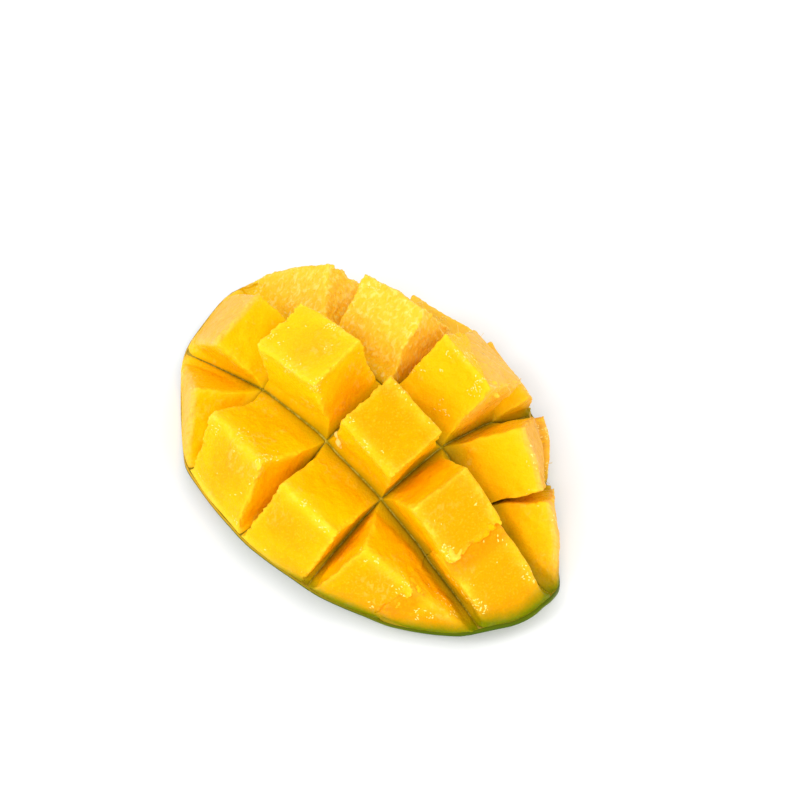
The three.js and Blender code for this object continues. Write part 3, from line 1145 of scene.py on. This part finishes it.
@dataclass
class Chunk:
    """One scored chunk of flesh, rooted in the skin, with its sizes in millimetres."""

    cheek: EvertedCheek
    cell: Cell
    # Its lattice: steps, crowding towards the edges, and depth of the root in the bed.
    steps: tuple[int, int, int] = (34, 32, 24)
    outer_steps: tuple[int, int, int] = (22, 14, 16)
    crowding: float = 0.45
    crowding_below: float = 0.3
    overlap: float = 0.25
    upright_edge: float = 0.9
    # Depths below the stone side between which it turns into a wall.
    wall_depths: tuple[float, float] = (0.3, 2.0)
    # The stone side breaks at a place between the middle and the rim, and swells.
    break_at: float = 0.42
    break_width: float = 0.22
    break_height: float = 0.7
    swell_height: float = 0.25
    swell: Waves = Waves(16.0, 5)
    # The torn far end and the ragged near end.
    tear_reach: float = 8.0
    jag_reach: float = 2.5
    jag_rises: tuple[float, float] = (4.0, 10.0)
    jag_stretch: float = 0.4
    jag_line: Waves = Waves(3.4, 51)
    # The fold in the stone side, with a painted highlight along its crease.
    fold_stray: float = 1.5
    crease_at: float = 0.4
    crease_width: float = 1.1
    crease_depth: float = 0.8
    crease_highlight: float = 0.8
    fold_line: Waves = Waves(9.0, 41)
    # How far the cuts wander across, along and up.
    wander: float = 0.45
    ripple: float = 0.12
    lift: float = 0.1
    across_waves: tuple[Waves, Waves] = (Waves(15.0, 21), Waves(4.0, 22))
    along_waves: tuple[Waves, Waves] = (Waves(15.0, 23), Waves(4.0, 24))
    up_waves: Waves = Waves(6.0, 25)
    # Widths of the zones that its finish shows.
    ridge_width: float = 2.6
    edge_width: float = 1.0
    corner_width: float = 1.2
    fringe_width: float = 0.9
    middle_width: float = 9.0
    lane_slant: float = 0.7
    # Juice stands in patches, and most beside the ridges.
    juice_anywhere: float = 0.12
    juice_by_ridge: float = 0.9
    juice_reach: float = 5.0
    juice_patches: Waves = Waves(7.0, 31)

    def __post_init__(self) -> None:
        """Looks up what sets this chunk apart."""
        row, column = self.cell
        scoring = self.cheek.scoring
        self.name = f"chunk_{row}_{column}"
        self.look = LOOKS.get(self.cell, ChunkLook(Flesh.FIBROUS))
        self.seed = 1 + row * len(scoring.column_lean) + column
        self.is_outer = row == len(scoring.row_lean) - 1

    def build(self) -> Iterator[bpy.types.Object]:
        """The chunk, and the beads and fibres on it."""
        rough = self.surface().mesh(f"{self.name}_rough")
        made = FleshRelief().run(self.name, rough, self.seed, WetFlesh())
        yield add_piece(made, "flesh")
        for scatter in (JuiceBeads(), Fibres()):
            name = self.name.replace("chunk", scatter.name)
            strewn = scatter.run(name, made.copy(), self.seed, scatter.finish)
            if strewn.polygons:
                yield add_piece(strewn, "flesh")

    def _span(self) -> tuple[float, float]:
        """Highest and lowest y of the chunk."""
        fresh, scoring = self.cheek.fresh, self.cheek.scoring
        low, high = scoring.row_edges(self.cell[0])
        far, near = scoring.column_edges(self.cell[1])
        kerf = scoring.kerf / 2.0
        nearest = min(max(0.0, low + kerf), high - kerf)
        start = min(far - kerf, fresh.outline_end(nearest, 1.0, fresh.lip))
        return start, max(near + kerf, fresh.outline_end(nearest, -1.0, fresh.lip))

    def _along(self, share: Array) -> Array:
        """Spacing of lattice lines along the chunk, closer at the round ends of the cheek."""
        if self.cell[1] == 0:
            return 1.0 - np.cos(share * math.pi / 2.0)
        if self.cell[1] == len(self.cheek.scoring.cross_cuts):
            return np.sin(share * math.pi / 2.0)
        return spread(share, self.crowding)

    def _crown(self, x: Array, y: Array, share: Array) -> Array:
        """Height of the stone side above the flat cut, which swells and breaks near the rim.

        Args:
            x: place across the flat cut.
            y: place along it.
            share: place between both sides of the chunk, from 0 to 1.

        Returns:
            Millimetres.
        """
        fresh = self.cheek.fresh
        low, high = self.look.crown
        rooted = np.minimum(1.0, fresh.cut_depth(x, y) / self.cheek.scoring.crown_root)
        strayed = (low + (high - low) * share) * rooted
        broken = self.break_height * bump_at(fresh.rim(x, y) - self.break_at, self.break_width)
        return strayed + broken + self.swell_height * self.swell.at(x, y)

    def _block(self) -> Block:
        """Lattice of the chunk with its edges rounded."""
        fresh, scoring, look = self.cheek.fresh, self.cheek.scoring, self.look
        unit, faces = box_lattice(self.outer_steps if self.is_outer else self.steps)
        start, end = self._span()
        kerf = scoring.kerf / 2.0
        low, high = scoring.row_edges(self.cell[0])
        length = start - end
        along = self._along(unit[:, 0]) * length
        y = start - along
        reach = fresh.reach(y, fresh.lip)
        left = np.clip(low + kerf, -reach, reach)
        width = np.clip(high - kerf, -reach, reach) - left
        across = spread(unit[:, 1], self.crowding) * width
        bottom = -fresh.cut_depth(left + across, y) - self.overlap
        share = across / np.maximum(width, TINY)
        height = self._crown(left + across, y, share) - bottom
        below = (1.0 - spread(unit[:, 2], self.crowding_below)) * height

        side = np.minimum(across, width - across)
        end_side = np.minimum(along, length - along)
        is_right = across > width / 2.0
        is_near = along > length / 2.0
        limit = np.minimum(width, height) / 3.0
        side, below = rounded(side, below, np.minimum(look.long_edge, limit))
        limit = np.minimum(length, height) / 3.0
        end_side, below = rounded(end_side, below, np.minimum(look.cross_edge, limit))
        upright = self.upright_edge * smoothstep(height - below, 2.0, 8.0) + 0.01
        limit = np.minimum(width, length) / 3.0
        side, end_side = rounded(side, end_side, np.minimum(upright, limit))

        x = left + np.where(is_right, width - side, side)
        y = start - np.where(is_near, length - end_side, end_side)
        z = self._crown(x, y, share) - below
        return Block(
            faces, x, y, z, z + fresh.cut_depth(x, y), along, across, below, side, end_side,
            np.hypot(side - width / 2.0, end_side - length / 2.0), length, height, is_right,
        )

    def surface(self) -> Surface:
        """Outside of the chunk in the frame, with the values that its finish reads."""
        look, block = self.look, self._block()
        x, y, z, rise = block.x, block.y, block.z, block.rise
        along, length = block.along, block.length
        near_tear = 1.0 - smoothstep(along, 0.0, self.tear_reach)
        torn = smoothstep(rise / np.maximum(block.height, TINY), 0.0, 0.5) * near_tear
        y = y + look.torn * torn
        wall = smoothstep(block.below, *self.wall_depths)
        fold_at = look.fold[0] + (look.fold[1] - look.fold[0]) * along / length
        past_fold = block.across - fold_at + self.fold_stray * self.fold_line.at(x, y)
        crease = look.band * bump_at(past_fold - self.crease_at, self.crease_width) * (1.0 - wall)
        jags = np.maximum(0.0, self.jag_line.at(x, self.jag_stretch * z))
        near_end = smoothstep(along, length - self.jag_reach, length)
        near_end = near_end * smoothstep(rise, *self.jag_rises)
        y = y - look.ragged * jags * near_end
        z = z - look.sunk * torn * near_tear - self.crease_depth * crease
        points = self._uneven(np.stack([x, y, z], axis=1), rise)

        fresh = self.cheek.fresh
        folded = smoothstep(past_fold, -0.8, 1.2)
        values = {
            **dict.fromkeys(PAINTED, 0.0),
            **self._edge_values(block, wall, folded, torn * float(look.torn > 0.0)),
            "rim": fresh.rim(x, y),
            "bare": fresh.bare(x, y),
            "along": y / fresh.half_length,
            "lane": x + self.lane_slant * y,
        }
        # Painted highlight along the crease of the fold, carried as ridge.
        values["ridge"] = np.maximum(values["ridge"], self.crease_highlight * crease)
        values["wet"] = self._wet(points, rise, block.below + block.side) * (1.0 - values["band"])
        placed = self.cheek.to_frame(self.cheek.raised(points, rise, self.cell))
        return Surface(placed, block.faces, values)

    def _edge_values(
        self, block: Block, wall: Array, folded: Array, torn: Array
    ) -> dict[str, Union[Array, float]]:
        """Values that follow from the look of the chunk and from how near its edges are.

        Args:
            block: the lattice with its distances.
            wall: 1 on the cut walls and 0 on the stone side.
            folded: 1 past the fold in the stone side.
            torn: 1 where the chunk is torn.

        Returns:
            Values by name.
        """
        look, below, side, end_side = self.look, block.below, block.side, block.end_side
        corner = bump_at(side + end_side, self.corner_width) * smoothstep(block.rise, 3.0, 9.0)
        under_band = look.band * (1.0 - folded) * (1.0 - block.is_right)
        ridge = bump_at(below + side, self.ridge_width) * (1.0 - under_band)
        middle = bump_at(block.from_middle, self.middle_width) * (1.0 - wall)
        edges = [bump_at(below + end_side, self.edge_width), 0.6 * corner, 0.3 * torn]
        membrane = look.band * folded * (1.0 - 0.6 * wall)
        return {
            "rise": block.rise,
            "wall": wall,
            "ridge": ridge,
            "edge": np.maximum.reduce(edges),
            "torn": torn,
            "middle": middle * (1.0 - look.band),
            "pebbles": look.pebbles,
            "warmth": look.warmth,
            "paleness": look.paleness,
            "fibrous": (1.0 - wall) * (look.stone_side is Flesh.FIBROUS),
            "brown": (1.0 - wall * (not self.is_outer)) * look.brown,
            "band": membrane * smoothstep(block.rise, 3.0, 12.0),
            "fringe": look.fringe * bump_at(below + np.minimum(side, end_side), self.fringe_width),
        }

    def _wet(self, points: Array, rise: Array, to_ridge: Array) -> Array:
        """Where juice stands in beads: in patches, most of all along the ridges."""
        patches = smoothstep(self.juice_patches.at(*points.T), 0.15, 0.65)
        by_ridge = self.juice_by_ridge * bump_at(to_ridge, self.juice_reach)
        likely = self.juice_anywhere + by_ridge + self.look.juicy
        return patches * likely * smoothstep(rise, 4.0, 7.0)

    def _uneven(self, points: Array, rise: Array) -> Array:
        """Lets the cuts wander a little, the same way on both sides of each."""
        free = (smoothstep(rise, 1.0, 6.0) * smoothstep(-rise, -60.0, -1.0))[:, None]
        x, y, z = points.T
        moved = [
            self.wander * slow.at(*place) + self.ripple * quick.at(*place)
            for (slow, quick), place in ((self.across_waves, (y, z)), (self.along_waves, (x, z)))
        ]
        moved.append(self.lift * self.up_waves.at(x, y))
        return points + np.stack(moved, axis=1) * free


@dataclass(frozen=True)
class Tear:
    """Where the flesh of one chunk tore, as a line in fresh millimetres with lumps along it."""

    name: str
    cell: Cell
    start: Triple
    end: Triple
    lumps: int
    size: float
    seed: int
    warmth: float = 0.9
    paleness: float = 0.1
    fibre: bool = False


@dataclass
class TornEdge:
    """The ragged ridge that stands along a tear."""

    cheek: EvertedCheek
    tear: Tear
    seed: int
    stray: float = 0.25
    fineness: float = 0.28
    softness: float = 1.6
    height: float = 12.0
    # Ranges of the draws: place along the line, radius and half axes of each lump.
    places: tuple[float, float] = (0.2, 0.8)
    radii: tuple[float, float] = (0.6, 1.2)
    slimmest: Triple = (0.5, 0.5, 0.3)
    fattest: Triple = (1.1, 1.1, 0.6)
    uprightness: float = 2.0

    def build(self) -> Iterator[bpy.types.Object]:
        """The ridge as one piece."""
        rough = self.surface().mesh(f"{self.tear.name}_rough")
        finish = PALE_FIBRE if self.tear.fibre else WetFlesh()
        yield add_piece(FleshRelief().run(self.tear.name, rough, self.seed, finish), "flesh")

    def melted(self) -> bpy.types.Mesh:
        """Lumps along the line that melt into each other, as a mesh in fresh millimetres."""
        tear = self.tear
        draw = np.random.default_rng(tear.seed)
        family = bpy.data.metaballs.new(tear.name)
        family.resolution = family.render_resolution = self.fineness
        for lump in range(tear.lumps):
            share = (lump + draw.uniform(*self.places)) / tear.lumps
            middle = np.array(tear.start) * (1.0 - share) + np.array(tear.end) * share
            ball = family.elements.new(type="ELLIPSOID")
            ball.co = middle + draw.normal(size=3) * self.stray * tear.size
            ball.radius = self.softness * tear.size * draw.uniform(*self.radii)
            ball.size_x, ball.size_y, ball.size_z = draw.uniform(self.slimmest, self.fattest)
            leaning = draw.normal(size=3) + self.uprightness * np.array(UP)
            ball.rotation = UP.rotation_difference(Vector(leaning))
        holder = in_scene(f"{tear.name}_balls", family)
        graph = bpy.context.evaluated_depsgraph_get()
        mesh = bpy.data.meshes.new_from_object(holder.evaluated_get(graph), depsgraph=graph)
        bpy.data.objects.remove(holder)
        bpy.data.metaballs.remove(family)
        return mesh

    def surface(self) -> Surface:
        """The ridge in the frame, with the values that its finish reads."""
        mesh = self.melted()
        points = np.array([vertex.co for vertex in mesh.vertices])
        faces = [tuple(polygon.vertices) for polygon in mesh.polygons]
        bpy.data.meshes.remove(mesh)
        values = {
            **dict.fromkeys((*PAINTED, *STREWN), 0.0),
            "rise": self.height,
            "pebbles": 0.4,
            "wall": 0.4,
            "edge": 0.1,
            "warmth": self.tear.warmth,
            "paleness": self.tear.paleness,
        }
        turned = self.cheek.carry(self.cheek.fresh.shaped(points), self.tear.cell)
        return Surface(self.cheek.to_frame(turned), faces, values)


TEARS = (
    Tear("torn_fingers", (1, 3), (-6.0, -35.2, -0.9), (2.4, -35.0, -0.9), 7, 1.7, 7, 1.1, 0.0),
    Tear("pale_lump", (1, 3), (-13.0, -34.4, -0.7), (-11.6, -35.0, -0.8), 3, 1.8, 9, 0.2, 1.0),
    Tear("ragged_crest", (0, 4), (-15.6, -35.0, -0.8), (-16.6, -41.5, -0.6), 12, 1.1, 11, 0.9, 0.2),
    Tear("pale_scrap", (1, 2), (-14.9, 0.8, -21.6), (-14.8, 4.9, -18.2), 9, 1.1, 15, fibre=True),
    Tear("pale_curl", (2, 2), (8.5, -14.0, -0.6), (12.0, -14.8, -3.5), 7, 1.8, 19, 0.2, 1.0),
)


@dataclass
class SkinLayer:
    """A closed layer of the bent skin, made ring by ring from the middle to the rim."""

    cheek: EvertedCheek
    name: str
    slot: str
    finish: Finish
    rings: int = 64
    spokes: int = 232
    lip_height: float = 0.1

    def build(self) -> Iterator[bpy.types.Object]:
        """The layer as one piece."""
        mesh = self.surface().mesh(self.name)
        mesh.materials.append(self.finish.material())
        yield add_piece(mesh, self.slot)

    def side(self, radius: Array, angle: Array, inside: bool) -> Array:
        """Fresh points of the outer or inner side of the layer.

        Args:
            radius: distance from the middle of the outline, 1 at the rim.
            angle: direction from the middle.
            inside: whether the inner side is wanted.

        Returns:
            Rows in fresh coordinates.
        """
        raise NotImplementedError

    def on_outline(self, radius: Array, angle: Array, share: float) -> tuple[Array, Array]:
        """Place on the flat face at a share of the outline."""
        fresh = self.cheek.fresh
        y = share * fresh.half_length * radius * np.sin(angle)
        return share * fresh.widening(y) * radius * np.cos(angle), y

    def fresh_points(self) -> tuple[Array, Array]:
        """Outer side, edge and inner side, ring by ring.

        Returns:
            Points, and a value for each that is 1 on the inside.
        """
        spokes = np.arange(self.spokes) * 2.0 * math.pi / self.spokes
        radii = np.sin(np.arange(1, self.rings + 1) / self.rings * math.pi / 2.0)
        radius, angle = np.repeat(radii, self.spokes), np.tile(spokes, self.rings)
        middle = np.zeros(1)
        outer, inner = self.side(radius, angle, False), self.side(radius[::-1], angle, True)
        edge = (outer[-self.spokes:] + inner[:self.spokes]) / 2.0 + self.lip_height * np.array(UP)
        ends = [self.side(middle, middle, inside) for inside in (False, True)]
        inside = np.repeat([0.0, 0.5, 1.0], [len(outer), self.spokes, len(inner)])
        return np.concatenate([outer, edge, inner, *ends]), np.append(inside, [0.0, 1.0])

    def values(self, points: Array, inside: Array) -> dict[str, Array]:
        """Values that the finish reads, from the fresh points."""
        fresh = self.cheek.fresh
        x, y = points[:, 0], points[:, 1]
        return {"rim": fresh.rim(x, y), "inside": inside, "along": y / fresh.half_length}

    def turned(self) -> Array:
        """Points of the layer after turning, before they are placed in the frame."""
        return self.cheek.bent(self.fresh_points()[0])

    def surface(self) -> Surface:
        """Closed layer in the frame."""
        points, inside = self.fresh_points()
        rows = 2 * self.rings + 1
        ids = np.arange(rows * self.spokes).reshape(rows, self.spokes)
        right = np.roll(ids, -1, axis=1)
        quads = np.stack([ids[:-1], ids[1:], right[1:], right[:-1]], axis=-1).reshape(-1, 4)
        faces = [tuple(map(int, quad)) for quad in quads]
        first, last = len(points) - 2, len(points) - 1
        faces += [(first, int(a), int(b)) for a, b in zip(ids[0], right[0])]
        faces += [(last, int(b), int(a)) for a, b in zip(ids[-1], right[-1])]
        placed = self.cheek.to_frame(self.cheek.bent(points))
        return Surface(placed, faces, self.values(points, inside))


@dataclass
class Peel(SkinLayer):
    """The thin skin of the fruit."""

    name: str = "peel"
    slot: str = "peel"
    finish: Finish = WaxyPeel()

    def side(self, radius: Array, angle: Array, inside: bool) -> Array:
        """Outside of the fruit, or where the flesh begins."""
        fresh = self.cheek.fresh
        depth = fresh.depth - fresh.peel if inside else fresh.depth
        x, y = self.on_outline(radius, angle, fresh.lip if inside else 1.0)
        return np.stack([x, y, -depth * np.sqrt(np.maximum(0.0, 1.0 - radius ** 2))], axis=1)


@dataclass
class FleshBed(SkinLayer):
    """The uncut flesh that holds the chunks on the peel."""

    name: str = "flesh_bed"
    slot: str = "flesh"
    finish: Finish = WetFlesh()
    tuck: float = 0.15

    def side(self, radius: Array, angle: Array, inside: bool) -> Array:
        """Just inside the peel, or the floor of the cuts."""
        fresh = self.cheek.fresh
        x, y = self.on_outline(radius, angle, fresh.lip)
        z = -fresh.cut_depth(x, y) if inside else -fresh.peel_depth(x, y) - self.tuck
        return np.stack([x, y, z], axis=1)

    def values(self, points: Array, inside: Array) -> dict[str, Array]:
        """The bed has no height above itself, so its finish is that of the floor of a cut."""
        own = {"wall": 1.0, "warmth": 0.5 * inside, "floor": inside}
        bare = self.cheek.fresh.bare(points[:, 0], points[:, 1])
        shared = super().values(points, inside)
        return {**dict.fromkeys(PAINTED, 0.0), **shared, **own, "bare": bare}


@dataclass(frozen=True)
class Viewpoint:
    """The camera, looking down on the cheek."""

    looks_at: Triple = (9.41, 0.84, 25.0)
    azimuth: float = -52.39
    elevation: float = 54.46
    roll: float = -10.34
    distance: float = 699.5
    focal_length: float = 106.57
    sees_from_to: tuple[float, float] = (0.01, 20.0)

    def axes(self) -> tuple[Vector, Vector, Vector]:
        """Right, up and forward directions of the picture."""
        angles = (self.azimuth, self.elevation, self.roll)
        azimuth, elevation, roll = (math.radians(angle) for angle in angles)
        level = math.cos(elevation)
        ahead, aside = math.cos(azimuth) * level, math.sin(azimuth) * level
        forward = Vector((-aside, ahead, -math.sin(elevation)))
        right = forward.cross(UP).normalized()
        up = right.cross(forward)
        tilted_up = up * math.cos(roll) + right * math.sin(roll)
        return forward.cross(tilted_up), tilted_up, forward

    def make(self) -> bpy.types.Object:
        """Makes the camera."""
        right, up, forward = self.axes()
        data = bpy.data.cameras.new("camera")
        data.lens = self.focal_length
        data.clip_start, data.clip_end = self.sees_from_to
        camera = in_scene("camera", data)
        turn = Matrix((right, up, -forward)).transposed().to_4x4()
        place = (Vector(self.looks_at) - forward * self.distance) * MM
        camera.matrix_world = Matrix.Translation(place) @ turn
        bpy.context.scene.camera = camera
        return camera


@dataclass(frozen=True)
class SoftLight:
    """One soft box, placed by how the picture sees it."""

    name: str
    from_right: float
    from_above: float
    from_front: float
    distance: float
    size: float
    watts: float
    aims_above: float = 0.02

    def make(self, view: Viewpoint) -> bpy.types.Object:
        """Makes the light, turned towards the cheek."""
        right, up, forward = view.axes()
        towards = right * self.from_right + up * self.from_above - forward * self.from_front
        towards.normalize()
        data = bpy.data.lights.new(self.name, "AREA")
        data.shape = "DISK"
        data.size = self.size
        data.energy = self.watts
        light = in_scene(self.name, data)
        turn = (-towards).to_track_quat("-Z", "Y").to_matrix().to_4x4()
        place = UP * self.aims_above + towards * self.distance
        light.matrix_world = Matrix.Translation(place) @ turn
        return light


@dataclass(frozen=True)
class Studio:
    """Pale floor, soft light and camera."""

    view: Viewpoint = Viewpoint()
    lights: tuple[SoftLight, ...] = (
        SoftLight("key_light", -0.55, 0.2, 0.8, 1.5, 0.7, 6.9),
        SoftLight("front_light", -0.1, -0.25, 0.96, 1.5, 0.7, 7.3),
        SoftLight("right_light", 0.8, -0.25, 0.6, 1.5, 1.2, 3.6),
        SoftLight("upper_light", 0.55, 0.6, 0.5, 1.5, 1.0, 2.8),
    )
    sky: Triple = (1.0, 1.0, 1.0)
    sky_strength: float = 0.84
    floor_size: float = 3.0

    def build(self) -> None:
        """Makes all that isn't the cheek."""
        self.view.make()
        bpy.context.scene.view_settings.view_transform = "Standard"
        for light in self.lights:
            light.make(self.view)
        world = bpy.data.worlds.new("sky")
        bpy.context.scene.world = world
        world.use_nodes = True
        background = world.node_tree.nodes["Background"]
        background.inputs["Color"].default_value = (*self.sky, 1.0)
        background.inputs["Strength"].default_value = self.sky_strength
        half = self.floor_size / 2.0
        corners = [(-half, -half, 0.0), (half, -half, 0.0), (half, half, 0.0), (-half, half, 0.0)]
        mesh = bpy.data.meshes.new("floor")
        mesh.from_pydata(corners, [], [(0, 1, 2, 3)])
        mesh.materials.append(PALE_FLOOR.material())
        in_scene("floor", mesh)


def main() -> None:
    """Builds the cheek and its studio, and logs the faces of every piece."""
    logging.basicConfig(level=logging.INFO, format="%(name)s %(message)s")
    Studio().build()
    cheek = EvertedCheek()
    peel = Peel(cheek)
    cheek.settle_in(peel.turned(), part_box(NODE))
    chunks = [Chunk(cheek, cell) for cell in cheek.cells]
    torn_edges = [TornEdge(cheek, tear, seed) for seed, tear in enumerate(TEARS, FIRST_TORN_SEED)]
    for part in (peel, FleshBed(cheek), *chunks, *torn_edges):
        for piece in part.build():
            log.info("%s: %d faces", piece.name, len(piece.data.polygons))


if __name__ == "__main__":
    main()
